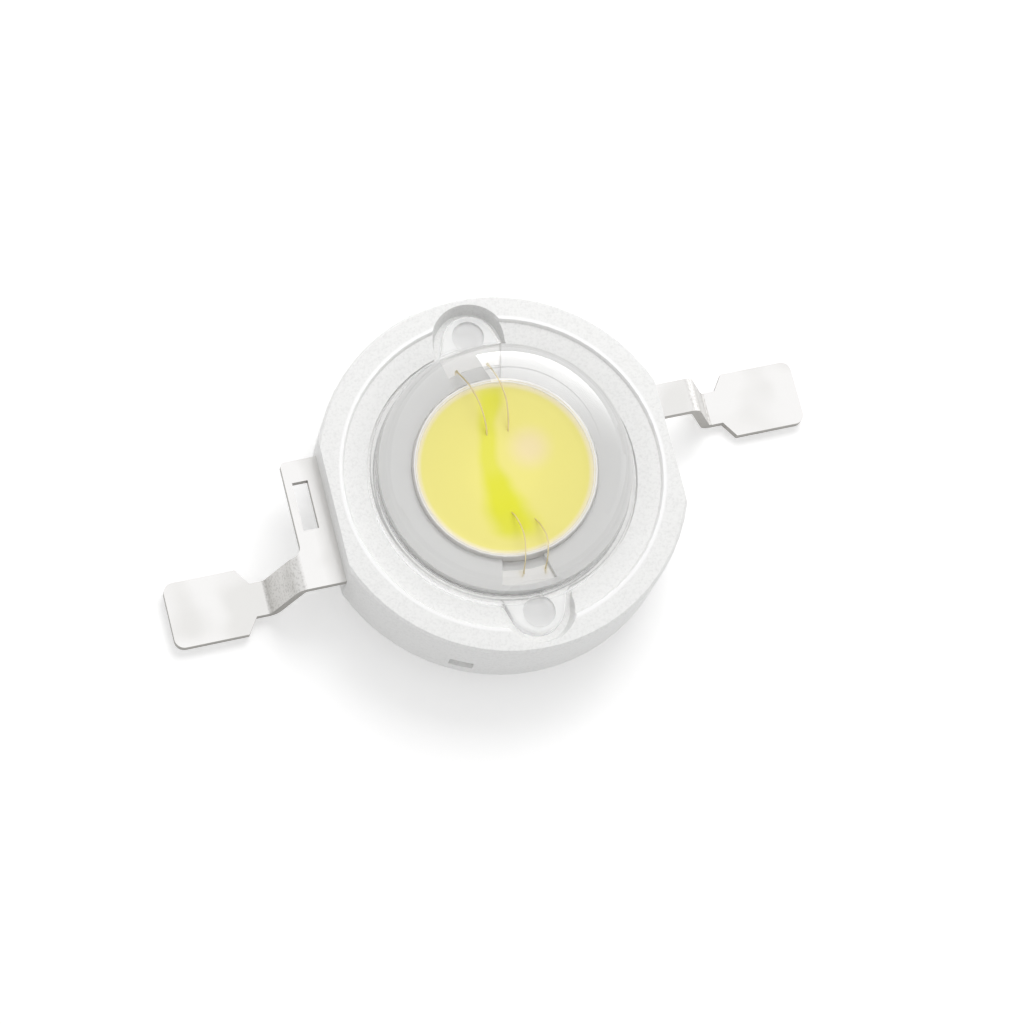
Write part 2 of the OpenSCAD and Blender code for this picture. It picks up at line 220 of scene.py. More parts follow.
# Leads: stamped and bent from one sheet, then silver plated
leadLook = {
    "colour": "F8F7F6",
    "patchColour": "EBEAE8",
    "patchSize": 1.2,
    "patchDetail": 1.0,
    "patchRange": (0.4, 0.65),
    "housingShadeColour": "E3E2E0",  # the marked lead by the housing, painted darker as the housing's shade
    "housingShadeX": (-4.15, -3.8),
    "raisedZ": 1.0,
    "underGelShadeColour": "E2E1DF",  # the bond fingers under the gel, painted grey as the dome's shade
    "underGelShadeZ": (1.85, 2.0),
    # painted shade on sloped faces, set by how level the sheet lies
    "bendShadeColour": "DEDDDB",
    "bentLevel": (0.995, 0.93),  # how level the sheet lies where a tint starts and where it is full
    "creaseColour": "BFBEBB",
    "creasePitch": 0.42,
    "creaseWander": 1.5,
    "creaseDetail": 2.0,
    "creaseDetailScale": 2.0,
    "creaseSharpness": 3.0,
    "creaseShare": 0.7,
    "stretchedShare": 0.6,
    # dull cut edges, darkened further as painted shade on upright faces
    "cutEdgeShadeColour": "A3A19D",
    "cutLevel": (0.25, 0.1),
    "roughLevel": (0.99, 0.9),
    "roughness": (0.22, 0.48),  # on the flats and on the bends
    "grainSize": 0.05,  # the plating's grain, coarser than real so that it shows
    "grainDetail": 2.0,
    "grainRange": (0.5, 0.62),
    "grainStrength": (0.05, 0.4),
    "grainDepth": 0.02,
    "edge": 0.03,
}


def makeStampedSilver():
    # Silver plated brass, rolled, stamped and bent: bright satin faces with soft patches, grainy
    # bends with faint creases where the sheet was stretched, dull cut edges, and painted shade on
    # the bends, the cut edges, the fingers under the gel and the marked lead by the housing
    look = leadLook
    material, tree, shader, inMm = newMaterial("stamped silver plate", {"Metallic": 1.0})
    patches = addNode(tree, "ShaderNodeTexNoise", {
        "Vector": inMm, "Scale": 1 / look["patchSize"], "Detail": look["patchDetail"]})
    faint, full = look["patchRange"]
    patches = addNode(tree, "ShaderNodeMapRange", {
        "Value": patches.outputs["Fac"], "From Min": faint, "From Max": full},
        interpolation_type="SMOOTHSTEP").outputs[0]
    colour = addNode(tree, "ShaderNodeMix", {
        0: patches, 6: toLinear(look["colour"]), 7: toLinear(look["patchColour"])},
        data_type="RGBA").outputs[2]

    place = addNode(tree, "ShaderNodeSeparateXYZ", {0: inMm}).outputs
    normal = addNode(tree, "ShaderNodeNewGeometry").outputs["Normal"]
    upward = addNode(tree, "ShaderNodeSeparateXYZ", {0: normal}).outputs["Z"]
    level = addNode(tree, "ShaderNodeMath", {0: upward}, operation="ABSOLUTE").outputs[0]
    raised = addNode(tree, "ShaderNodeMath", {0: place["Z"], 1: look["raisedZ"]},
                     operation="GREATER_THAN").outputs[0]
    marked = addNode(tree, "ShaderNodeMath", {0: place["X"], 1: 0.0},
                     operation="LESS_THAN").outputs[0]
    marked = addNode(tree, "ShaderNodeMath", {0: marked, 1: raised},
                     operation="MULTIPLY").outputs[0]

    grain = addNode(tree, "ShaderNodeTexNoise", {
        "Vector": inMm, "Scale": 1 / look["grainSize"],
        "Detail": look["grainDetail"]}).outputs["Fac"]
    faint, full = look["grainRange"]
    grains = addNode(tree, "ShaderNodeMapRange", {
        "Value": grain, "From Min": faint, "From Max": full}).outputs[0]
    creases = addNode(tree, "ShaderNodeTexWave", {
        "Vector": inMm, "Scale": wavePeriod / look["creasePitch"],
        "Distortion": look["creaseWander"], "Detail": look["creaseDetail"],
        "Detail Scale": look["creaseDetailScale"]}).outputs["Fac"]
    creases = addNode(tree, "ShaderNodeMath", {0: creases, 1: look["creaseSharpness"]},
                      operation="POWER").outputs[0]
    stretched = addNode(tree, "ShaderNodeMath", {0: creases, 1: look["creaseShare"], 2: grains},
                        operation="MULTIPLY_ADD").outputs[0]
    stretched = addNode(tree, "ShaderNodeMath", {0: stretched, 1: look["stretchedShare"]},
                        operation="MULTIPLY").outputs[0]
    # painted shade: by the housing on the marked lead, on the fingers under the gel, on sloped
    # bends and on cut edges; the creases add faint bands on the bends
    for value, (start, full), factor, tint in (
            (place["X"], look["housingShadeX"], marked, "housingShadeColour"),
            (place["Z"], look["underGelShadeZ"], 1.0, "underGelShadeColour"),
            (level, look["bentLevel"], 1.0, "bendShadeColour"),
            (level, look["bentLevel"], stretched, "creaseColour"),
            (level, look["cutLevel"], 1.0, "cutEdgeShadeColour")):
        share = addNode(tree, "ShaderNodeMapRange", {
            "Value": value, "From Min": start, "From Max": full}).outputs[0]
        share = addNode(tree, "ShaderNodeMath", {0: share, 1: factor},
                        operation="MULTIPLY").outputs[0]
        colour = addNode(tree, "ShaderNodeMix", {0: share, 6: colour, 7: toLinear(look[tint])},
                         data_type="RGBA").outputs[2]
    tree.links.new(colour, shader.inputs["Base Color"])

    start, full = look["roughLevel"]
    bent = addNode(tree, "ShaderNodeMapRange", {
        "Value": level, "From Min": start, "From Max": full}).outputs[0]
    flats, bends = look["roughness"]
    roughness = addNode(tree, "ShaderNodeMapRange", {
        "Value": bent, "To Min": flats, "To Max": bends}).outputs[0]
    tree.links.new(roughness, shader.inputs["Roughness"])
    flats, bends = look["grainStrength"]
    strength = addNode(tree, "ShaderNodeMapRange", {
        "Value": bent, "To Min": flats, "To Max": bends}).outputs[0]
    bump = addNode(tree, "ShaderNodeBump", {
        "Height": grain, "Strength": strength, "Distance": look["grainDepth"] * mm})
    tree.links.new(bump.outputs[0], shader.inputs["Normal"])
    return material


stampedSilver = makeStampedSilver()
dressNode("marked_lead", stampedSilver, leadLook["edge"])
dressNode("plain_lead", stampedSilver, leadLook["edge"])
print("leads dressed")

# Heat slug: turned copper with a pressed cup, silver plated
slugLook = {
    "colour": "F6F4F1",
    "roughness": 0.35,
    "turningPitch": 0.05,
    "turningWander": 0.6,
    "nickSize": 0.05,
    "nickShare": 2.5,
    "grooveStrength": 0.4,
    "grooveDepth": 0.003,
    "edge": 0.015,
}


def makeTurnedSilver():
    # Silver plated copper, turned: soft metal shine with fine rings round the axis, nicked where
    # it was handled
    look = slugLook
    material, tree, shader, inMm = newMaterial("turned silver plate", {
        "Metallic": 1.0, "Roughness": look["roughness"], "Base Color": toLinear(look["colour"])})
    rings = addNode(tree, "ShaderNodeTexWave", {
        "Vector": inMm, "Scale": wavePeriod / look["turningPitch"],
        "Distortion": look["turningWander"]},
        wave_type="RINGS", rings_direction="Z").outputs["Fac"]
    nicks = addNode(tree, "ShaderNodeTexNoise", {
        "Vector": inMm, "Scale": 1 / look["nickSize"]}).outputs["Fac"]
    height = addNode(tree, "ShaderNodeMath", {0: nicks, 1: look["nickShare"], 2: rings},
                     operation="MULTIPLY_ADD").outputs[0]
    bump = addNode(tree, "ShaderNodeBump", {
        "Height": height, "Strength": look["grooveStrength"],
        "Distance": look["grooveDepth"] * mm})
    tree.links.new(bump.outputs[0], shader.inputs["Normal"])
    return material


dressNode("heat_slug", makeTurnedSilver(), slugLook["edge"])

# Chip and its paste, out of sight under the phosphor
chipLook = {
    "chipColour": "5C7FA8",
    "chipRoughness": 0.15,
    "chipIor": 1.77,
    "sawPitch": wavePeriod / 3,  # about a tenth of a millimetre
    "sawStrength": 0.1,
    "sawDepth": 0.001,
    "pasteColour": "B4B2AE",
    "pasteRoughness": 0.5,
    "pasteMetallic": 0.6,
    "pasteGrain": 0.02,
    "pasteStrength": 0.4,
    "pasteDepth": 0.003,
}


def makeSapphireChip():
    # Sapphire with a grown nitride layer, sawn apart: glassy blue grey with fine saw lines
    look = chipLook
    material, tree, shader, inMm = newMaterial("sawn sapphire chip", {
        "Roughness": look["chipRoughness"], "IOR": look["chipIor"],
        "Base Color": toLinear(look["chipColour"])})
    lines = addNode(tree, "ShaderNodeTexWave", {
        "Vector": inMm, "Scale": wavePeriod / look["sawPitch"]}).outputs["Fac"]
    bump = addNode(tree, "ShaderNodeBump", {
        "Height": lines, "Strength": look["sawStrength"], "Distance": look["sawDepth"] * mm})
    tree.links.new(bump.outputs[0], shader.inputs["Normal"])
    return material


def makeSilverPaste():
    # Silver filled epoxy, cured: flat grey with a fine metallic grain
    look = chipLook
    material, tree, shader, inMm = newMaterial("cured silver paste", {
        "Roughness": look["pasteRoughness"], "Metallic": look["pasteMetallic"],
        "Base Color": toLinear(look["pasteColour"])})
    grain = addNode(tree, "ShaderNodeTexNoise", {
        "Vector": inMm, "Scale": 1 / look["pasteGrain"]}).outputs["Fac"]
    bump = addNode(tree, "ShaderNodeBump", {
        "Height": grain, "Strength": look["pasteStrength"], "Distance": look["pasteDepth"] * mm})
    tree.links.new(bump.outputs[0], shader.inputs["Normal"])
    return material


dressNode("led_chip", makeSapphireChip())
dressNode("silver_paste", makeSilverPaste())
print("slug and chip dressed")

# Phosphor: yellow powder in silicone, poured into the cup and cured
phosphorLook = {
    "colour": "E3DA78",
    # painted shade streak
    "streakShadeColour": "D7D608",
    # painted reflection of the lamp
    "lampReflectionColour": "E6D5A2",
    "rimColour": "E8DEBC",
    "roughness": 0.55,
    "ior": 1.41,
    "powderSize": 0.03,  # the powder's grains, coarser than real so that they show
    "powderStrength": 0.2,
    "powderDepth": 0.002,
    "floorRadius": 0.858,
    "floorZ": 1.762,
    "rimRadius": 1.312,
    "topZ": 2.34,
    "skinRadius": 1.35,
    "skinZ": (2.361, 2.365),
    "sag": 0.02,
    "sagPower": 4,
    "surfaceRings": 8,
    "sides": 96,
    "rimStart": 1.22,
    "lampReflectionSpot": (0.47, 0.31),
    "lampReflectionFade": (0.42, 0.05),
    "streakFade": (1.25, 0.35),
    "streak": [  # the painted shade streak: Y, X of its middle, half width, strength from 0 to 1
        (-1.15, 0.1, 0.3, 0.0), (-0.85, 0.0, 0.4, 0.9),
        (-0.5, -0.08, 0.36, 1.0), (-0.15, -0.11, 0.25, 0.95),
        (0.2, -0.15, 0.16, 0.7), (0.7, -0.05, 0.15, 0.7),
        (1.1, 0.1, 0.2, 0.8), (1.3, 0.13, 0.2, 0.4)],
}


def makeCuredPhosphor():
    # Yellow garnet powder in silicone, cured: matt and eggy, with a greener streak of painted
    # shade, pale where it thins at the rim, and one pale soft spot that is a painted lamp
    # reflection
    look = phosphorLook
    material, tree, shader, inMm = newMaterial("cured phosphor silicone", {
        "Roughness": look["roughness"], "IOR": look["ior"]})
    flat, fromAxis = seenInPlan(tree, inMm)
    place = addNode(tree, "ShaderNodeSeparateXYZ", {0: inMm}).outputs

    wide = look["rimRadius"]
    along = addNode(tree, "ShaderNodeMapRange", {
        "Value": place["Y"], "From Min": -wide, "From Max": wide}).outputs[0]
    course = addNode(tree, "ShaderNodeValToRGB", {0: along})
    course.color_ramp.interpolation = "EASE"
    stops = course.color_ramp.elements
    stops.remove(stops[-1])
    shift = 0.5  # the ramp's red holds X moved up by this, since a colour is never negative
    for y, x, halfWidth, shadeStrength in look["streak"]:
        stops.new((y + wide) / (2 * wide)).color = (x + shift, halfWidth, shadeStrength, 1)
    course = addNode(tree, "ShaderNodeSeparateColor", {0: course.outputs[0]}).outputs
    middle = addNode(tree, "ShaderNodeMath", {0: course["Red"], 1: shift},
                     operation="SUBTRACT").outputs[0]
    aside = addNode(tree, "ShaderNodeMath", {0: place["X"], 1: middle},
                    operation="SUBTRACT").outputs[0]
    aside = addNode(tree, "ShaderNodeMath", {0: aside, 1: course["Green"]},
                    operation="DIVIDE").outputs[0]
    aside = addNode(tree, "ShaderNodeMath", {0: aside}, operation="ABSOLUTE").outputs[0]
    faint, full = look["streakFade"]
    streak = addNode(tree, "ShaderNodeMapRange", {
        "Value": aside, "From Min": faint, "From Max": full},
        interpolation_type="SMOOTHSTEP").outputs[0]
    streak = addNode(tree, "ShaderNodeMath", {0: streak, 1: course["Blue"]},
                     operation="MULTIPLY").outputs[0]
    # painted shade along the streak
    colour = addNode(tree, "ShaderNodeMix", {
        0: streak, 6: toLinear(look["colour"]), 7: toLinear(look["streakShadeColour"])},
        data_type="RGBA").outputs[2]

    # painted reflection of the lamp on the dome, laid on the phosphor as one pale soft spot
    toLampReflection = addNode(tree, "ShaderNodeVectorMath", {0: flat, 1: (*look["lampReflectionSpot"], 0)},
                     operation="DISTANCE").outputs["Value"]
    faint, full = look["lampReflectionFade"]
    lampReflection = addNode(tree, "ShaderNodeMapRange", {
        "Value": toLampReflection, "From Min": faint, "From Max": full},
        interpolation_type="SMOOTHSTEP").outputs[0]
    colour = addNode(tree, "ShaderNodeMix", {
        0: lampReflection, 6: colour, 7: toLinear(look["lampReflectionColour"])}, data_type="RGBA").outputs[2]
    thin = addNode(tree, "ShaderNodeMapRange", {
        "Value": fromAxis, "From Min": look["rimStart"], "From Max": look["rimRadius"]},
        interpolation_type="SMOOTHSTEP").outputs[0]
    colour = addNode(tree, "ShaderNodeMix", {
        0: thin, 6: colour, 7: toLinear(look["rimColour"])}, data_type="RGBA").outputs[2]
    tree.links.new(colour, shader.inputs["Base Color"])
    powder = addNode(tree, "ShaderNodeTexNoise", {
        "Vector": inMm, "Scale": 1 / look["powderSize"]}).outputs["Fac"]
    bump = addNode(tree, "ShaderNodeBump", {
        "Height": powder, "Strength": look["powderStrength"],
        "Distance": look["powderDepth"] * mm})
    tree.links.new(bump.outputs[0], shader.inputs["Normal"])
    return material


def makePhosphor():
    look = phosphorLook
    bm = bmesh.new()
    sides, steps = look["sides"], look["surfaceRings"]
    rings = [addRing(bm, circle(look["floorRadius"], sides), look["floorZ"]),
             addRing(bm, circle(look["rimRadius"], sides), look["topZ"])]
    for z in look["skinZ"]:  # a thin skin creeps over the cup's lip
        rings.append(addRing(bm, circle(look["skinRadius"], sides), z))
    for step in range(steps):  # the surface sags a little from the rim it clings to
        share = 1 - step / steps
        z = look["topZ"] - look["sag"] * (1 - share ** look["sagPower"])
        rings.append(addRing(bm, circle(look["rimRadius"] * share, sides), z))
    bridgeRings(bm, rings)
    bm.faces.new(rings[0])
    bm.faces.new(rings[-1])
    piece = addPiece("phosphorPour", bm, makeCuredPhosphor())
    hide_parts("phosphor_fill")


makePhosphor()
print("phosphor poured")

# Bond wires: drawn gold, balled on the chip and pressed flat on the bond fingers
wireLook = {
    "colour": "F3E6BE",
    "drawnColour": "DCC88E",
    "roughness": 0.35,
    "markLength": 0.125,
    "diameter": 0.022,
    "sides": 10,
    "steps": 16,
    "ball": [  # its outline, as shares of half its width and of its height
        (0.7, 0.0), (1.0, 0.3), (1.0, 0.6), (0.7, 0.95), (0.25, 1.0)],
    "ballWidth": 0.1,
    "ballHeight": 0.05,
    "ballSides": 20,
    "chipTop": 1.94,
    "stitchWidth": 0.035,
    "stitchPoints": 4,  # the bonding tool flattens the last stretch over this many points
    "stitchPress": 0.7,
    "routes": {  # plan points: ball, out of the phosphor, top of the loop, over the rim, stitch
        "bond_wire_1": [
            (-0.15, 0.36), (-0.07, 0.64), (-0.11, 1.02), (-0.18, 1.36), (-0.23, 1.6)],
        "bond_wire_2": [
            (0.15, 0.36), (0.24, 0.63), (0.28, 1.01), (0.25, 1.35), (0.21, 1.58)],
        "bond_wire_3": [
            (-0.15, -0.36), (0.0, -0.62), (0.04, -1.08), (-0.01, -1.47), (-0.05, -1.66)],
        "bond_wire_4": [
            (0.15, -0.36), (0.32, -0.79), (0.39, -1.2), (0.36, -1.5), (0.31, -1.64)],
    },
    "heights": [1.97, 2.34, 2.56, 2.5, 2.19],
}


def makeDrawnGold():
    # Gold wire, drawn: pale warm metal, a little duller along the draw marks
    look = wireLook
    material, tree, shader, inMm = newMaterial("drawn gold wire", {
        "Metallic": 1.0, "Roughness": look["roughness"]})
    tone = addNode(tree, "ShaderNodeTexNoise", {
        "Vector": inMm, "Scale": 1 / look["markLength"]}).outputs["Fac"]
    colour = addNode(tree, "ShaderNodeMix", {
        0: tone, 6: toLinear(look["colour"]), 7: toLinear(look["drawnColour"])},
        data_type="RGBA").outputs[2]
    tree.links.new(colour, shader.inputs["Base Color"])
    return material


def smoothPath(points, steps):
    path = []
    ends = [points[0] * 2 - points[1]] + points + [points[-1] * 2 - points[-2]]
    for i in range(1, len(ends) - 2):
        a, b, c, d = ends[i - 1:i + 3]
        for step in range(steps):
            t = step / steps
            bend = ((c - a) * t + (2 * a - 5 * b + 4 * c - d) * t ** 2
                    + (3 * b - a - 3 * c + d) * t ** 3)
            path.append(b + 0.5 * bend)
    return path + [points[-1]]


def sweepWire(bm, path, look):
    radius, last = look["diameter"] / 2, len(path) - 1
    turns = [2 * math.pi * k / look["sides"] for k in range(look["sides"])]
    side = Vector((0, 0, 1)).cross(path[1] - path[0]).normalized()
    rings = []
    for i, point in enumerate(path):
        ahead = (path[min(i + 1, last)] - path[max(i - 1, 0)]).normalized()
        side = (side - ahead * side.dot(ahead)).normalized()
        up = ahead.cross(side)
        pressed = max(0.0, 1 - (last - i) / look["stitchPoints"])
        wide = radius + (look["stitchWidth"] / 2 - radius) * pressed
        thick = radius * (1 - look["stitchPress"] * pressed)
        rings.append([bm.verts.new(point + wide * math.cos(a) * side + thick * math.sin(a) * up)
                      for a in turns])
    bridgeRings(bm, rings)
    bm.faces.new(rings[0])
    bm.faces.new(rings[-1])


def makeWires():
    look = wireLook
    material = makeDrawnGold()
    for number, (nodeName, route) in enumerate(look["routes"].items(), 1):
        bm = bmesh.new()
        points = [Vector((x, y, z)) for (x, y), z in zip(route, look["heights"])]
        sweepWire(bm, smoothPath(points, look["steps"]), look)
        ball = [addRing(bm, circle(look["ballWidth"] / 2 * wide, look["ballSides"], route[0]),
                        look["chipTop"] + look["ballHeight"] * high)
                for wide, high in look["ball"]]
        bridgeRings(bm, ball)
        bm.faces.new(ball[0])
        bm.faces.new(ball[-1])
        piece = addPiece("bondWire%d" % number, bm, material)
        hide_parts(nodeName)


makeWires()
print("wires bonded")

# Lens: the hollow dome with its two ears and the gel that fills it, which read as one clear body
lensLook = {
    "ior": 1.46,
    "rippleSize": 5 / 6,  # the slight waviness of a moulded skin
    "rippleDetail": 2.0,
    "rippleStrength": 0.15,
    "rippleDepth": 0.01,
    "earMilk": 0.35,
    "holeMilk": 0.6,
    "earStart": (2.8, 2.95),
    "holeShadeColour": "EEEEEE",
    "footShadeLineColour": "A0A0A0",
    "footShadeLineWidth": 0.025,
    "seatZ": 2.12,
    "lift": 0.004,  # the ears stand dry on the seat, the gel wets what lies under the dome
    "footHeight": 0.3,
    "footRadius": 2.87,
    "footFillet": 0.015,
    "domeRadius": 2.75,
    "domeSides": 192,
    "domeRings": 64,
    "edge": 0.06,
    "roundingSteps": 5,
    "sharpAngle": 40,
    "earCentre": 3.0,
    "earRadius": 0.6,
    "earRoot": (2.3, 0.84),
    "earSteps": 24,
    "taperEnd": 0.1,
    "footSteps": 60,
    "pointSpacing": 0.05,
    "easing": 3,  # smoothing passes, for the corners where the ears leave the foot
    "holeCentre": 3.12,
    "holeRadius": 0.34,
    "holeSides": 48,
    "holeEdge": 0.01,
    "holeDrop": 0.06,
    "meniscus": 0.1,
    "meniscusSteps": 7,
    "gelRadius": 2.29,
    "gelFloorZ": 2.0,
    "gelSides": 96,
}


def makeClearSilicone():
    # Clear silicone gel under a moulded silicone lens: index matched, so only the outer skin bends
    # and mirrors the light. The ears come from a rougher part of the mould and look a little
    # milky, the gel in their holes more so and tinted light grey as painted shade, and a fine
    # grey line of painted shade runs round the dome's foot
    look = lensLook
    material, tree, shader, inMm = newMaterial("clear moulded silicone", {
        "Roughness": 0.0, "IOR": look["ior"]})
    flat, fromAxis = seenInPlan(tree, inMm)
    start, full = look["earStart"]
    clear = addNode(tree, "ShaderNodeMapRange", {
        "Value": fromAxis, "From Min": start, "From Max": full,
        "To Min": 1.0, "To Max": 1 - look["earMilk"]}).outputs[0]
    flat = addNode(tree, "ShaderNodeVectorMath", {0: flat}, operation="ABSOLUTE").outputs[0]
    toHole = addNode(tree, "ShaderNodeVectorMath", {0: flat, 1: (0, look["holeCentre"], 0)},
                     operation="DISTANCE").outputs["Value"]
    inHole = addNode(tree, "ShaderNodeMath", {0: toHole, 1: look["holeRadius"]},
                     operation="LESS_THAN").outputs[0]
    clear = addNode(tree, "ShaderNodeMath", {
        0: inHole, 1: look["earMilk"] - look["holeMilk"], 2: clear},
        operation="MULTIPLY_ADD").outputs[0]
    tree.links.new(clear, shader.inputs["Transmission Weight"])

    # a fine line of painted shade round the dome's foot
    toFootShadeLine = addNode(tree, "ShaderNodeMath", {0: fromAxis, 1: look["domeRadius"]},
                     operation="SUBTRACT").outputs[0]
    toFootShadeLine = addNode(tree, "ShaderNodeMath", {0: toFootShadeLine}, operation="ABSOLUTE").outputs[0]
    footShadeLine = addNode(tree, "ShaderNodeMapRange", {
        "Value": toFootShadeLine, "From Min": look["footShadeLineWidth"], "From Max": 0.0}).outputs[0]
    colour = addNode(tree, "ShaderNodeMix", {
        0: footShadeLine, 6: (1, 1, 1, 1), 7: toLinear(look["footShadeLineColour"])}, data_type="RGBA").outputs[2]
    # painted shade in the ear holes: the gel there is tinted light grey
    colour = addNode(tree, "ShaderNodeMix", {
        0: inHole, 6: colour, 7: toLinear(look["holeShadeColour"])}, data_type="RGBA").outputs[2]
    tree.links.new(colour, shader.inputs["Base Color"])
    ripple = addNode(tree, "ShaderNodeTexNoise", {
        "Vector": inMm, "Scale": 1 / look["rippleSize"],
        "Detail": look["rippleDetail"]}).outputs["Fac"]
    bump = addNode(tree, "ShaderNodeBump", {
        "Height": ripple, "Strength": look["rippleStrength"],
        "Distance": look["rippleDepth"] * mm})
    tree.links.new(bump.outputs[0], shader.inputs["Normal"])
    return material


def earedOutline(look):
    # plan of the foot with both ears: an ear is drawn along U, then turned to its place
    foot, ear, centre = look["footRadius"], look["earRadius"], look["earCentre"]
    rootU, rootV = look["earRoot"]
    endU = centre + look["taperEnd"]
    endV = math.sqrt(ear ** 2 - look["taperEnd"] ** 2)
    slope = (rootV - endV) / (endU - rootU)
    leave = math.asin((rootV + rootU * slope) / foot / math.hypot(1, slope)) - math.atan(slope)
    wide = math.acos(look["taperEnd"] / ear)
    side = [(foot * math.cos(leave), foot * math.sin(leave)), (endU, endV)]
    turns = [wide - 2 * wide * i / look["earSteps"] for i in range(1, look["earSteps"])]
    tip = [(centre + ear * math.cos(a), ear * math.sin(a)) for a in turns]
    earPoints = [(u, -v) for u, v in side] + tip[::-1] + side[::-1]
    outline, steps = [], look["footSteps"]
    for turn in (math.pi / 2, 3 * math.pi / 2):
        c, s = math.cos(turn), math.sin(turn)
        outline += [(u * c - v * s, u * s + v * c) for u, v in earPoints]
        arc = [turn + leave + (math.pi - 2 * leave) * i / steps for i in range(1, steps)]
        outline += [(foot * math.cos(a), foot * math.sin(a)) for a in arc]
    return outline


def spaceEvenly(outline, spacing, easing):
    closed = outline + outline[:1]
    lengths = [0.0]
    for (x0, y0), (x1, y1) in zip(closed, closed[1:]):
        lengths.append(lengths[-1] + math.hypot(x1 - x0, y1 - y0))
    count = round(lengths[-1] / spacing)
    even, k = [], 0
    for i in range(count):
        reached = lengths[-1] * i / count
        while lengths[k + 1] < reached:
            k += 1
        t = (reached - lengths[k]) / (lengths[k + 1] - lengths[k])
        even.append(tuple(closed[k][n] * (1 - t) + closed[k + 1][n] * t for n in (0, 1)))
    for _ in range(easing):
        even = [tuple((even[i - 1][n] + 2 * even[i][n] + even[(i + 1) % count][n]) / 4
                      for n in (0, 1)) for i in range(count)]
    return even


def inset(outline, depth):
    count, moved = len(outline), []
    for i, (x, y) in enumerate(outline):
        x0, y0 = outline[i - 1]
        x1, y1 = outline[(i + 1) % count]
        length = math.hypot(x1 - x0, y1 - y0)
        moved.append((x - (y1 - y0) / length * depth, y + (x1 - x0) / length * depth))
    return moved


def insideLoop(point, loop):
    x, y = point
    crossings = 0
    for (x0, y0), (x1, y1) in zip(loop, loop[1:] + loop[:1]):
        if (y0 > y) != (y1 > y) and x < x0 + (y - y0) / (y1 - y0) * (x1 - x0):
            crossings += 1
    return crossings % 2 == 1


def fillFlat(bm, outer, holes):
    # triangles between an outer ring and the rings inside it
    loops = [outer] + holes
    verts = [v for loop in loops for v in loop]
    edges, start = [], 0
    for loop in loops:
        edges += [(start + i, start + (i + 1) % len(loop)) for i in range(len(loop))]
        start += len(loop)
    allTriangles, tolerance = 0, 1e-6
    found = delaunay_2d_cdt([v.co.xy for v in verts], edges, [], allTriangles, tolerance)
    triangles, origins = found[2], found[3]
    outerPoints, *holePoints = [[tuple(v.co.xy) for v in loop] for loop in loops]
    for triangle in triangles:
        corners = [verts[origins[i][0]] for i in triangle]
        middle = [sum(v.co[axis] for v in corners) / 3 for axis in (0, 1)]
        inHole = any(insideLoop(middle, hole) for hole in holePoints)
        if insideLoop(middle, outerPoints) and not inHole:
            bm.faces.new(corners)


def makeLens():
    look = lensLook
    bm = bmesh.new()
    domeZ = look["seatZ"] + look["footHeight"]
    quarter = [math.pi / 2 * i / look["roundingSteps"] for i in range(look["roundingSteps"] + 1)]

    edge = look["edge"]
    outline = spaceEvenly(earedOutline(look), look["pointSpacing"], look["easing"])
    walls = [addRing(bm, outline, look["seatZ"] + look["lift"])]
    for a in quarter:  # rounded upper edge of the foot and ears
        walls.append(addRing(bm, inset(outline, edge * (1 - math.cos(a))),
                             domeZ - edge + edge * math.sin(a)))
    bridgeRings(bm, walls)

    fillet, dome, sides = look["footFillet"], look["domeRadius"], look["domeSides"]
    profile = [(dome + fillet - fillet * math.sin(a), domeZ + fillet - fillet * math.cos(a))
               for a in quarter]
    low, steps = math.asin(fillet / dome), look["domeRings"]
    rise = [low + (math.pi / 2 - low) * i / steps for i in range(1, steps)]
    profile += [(dome * math.cos(a), domeZ + dome * math.sin(a)) for a in rise]
    rings = [addRing(bm, circle(radius, sides), z) for radius, z in profile]
    bridgeRings(bm, rings)
    pole = bm.verts.new((0, 0, domeZ + dome))
    for i in range(sides):
        bm.faces.new((rings[-1][i], rings[-1][(i + 1) % sides], pole))

    radius, rim, steps = look["holeRadius"], look["holeEdge"], look["meniscusSteps"]
    halfway = 0.3 * rim  # how far the middle of the small rounding lies from both its faces
    profile = [(radius + rim, domeZ), (radius + halfway, domeZ - halfway), (radius, domeZ - rim)]
    for i in range(steps):  # the gel's surface curves up where it clings to the hole's wall
        a = math.pi / 2 * i / steps
        z = domeZ - look["holeDrop"] - look["meniscus"] * math.sin(a)
        profile.append((radius * math.cos(a), z))
    holes = []
    for centre in ((0, look["holeCentre"]), (0, -look["holeCentre"])):
        hole = [addRing(bm, circle(r, look["holeSides"], centre), z) for r, z in profile]
        bridgeRings(bm, hole)
        bm.faces.new(hole[-1])
        holes.append(hole[0])
    fillFlat(bm, walls[-1], [rings[0]] + holes)

    gelOutline = circle(look["gelRadius"], look["gelSides"])
    gelTop = addRing(bm, gelOutline, look["seatZ"] + look["lift"])
    gelFloor = addRing(bm, gelOutline, look["gelFloorZ"])
    fillFlat(bm, walls[0], [gelTop])
    bridgeRings(bm, [gelTop, gelFloor])
    bm.faces.new(gelFloor)
    piece = addPiece("clearLens", bm, makeClearSilicone(), look["sharpAngle"])
    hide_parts("lens", "clear_gel")
    piece.visible_shadow = False  # a clear dome lets the lamp's light through to what it covers


makeLens()
print("lens set")

# Studio: white paper, an even white surround, one large soft lamp high behind on the right
studio = {
    "paper": "F2F2F2",
    "paperGlow": 0.31,
    "paperSize": 700,
    "surround": 0.62,
    "key": {"place": (12, 23, 42), "size": 30, "power": 0.0112},
    "cardEnds": (-30, 86),  # bearings between which the cards stand, degrees
    "cardFade": (0, 50),  # and between which they brighten
    "cardSteps": 24,
    "cards": {  # inner and outer radius, height at each, strength
        "low card": (9, 260, 0.2, 0.2, 4.4),
        "far card": (260, 262, 7, 90, 4.6),
    },
}


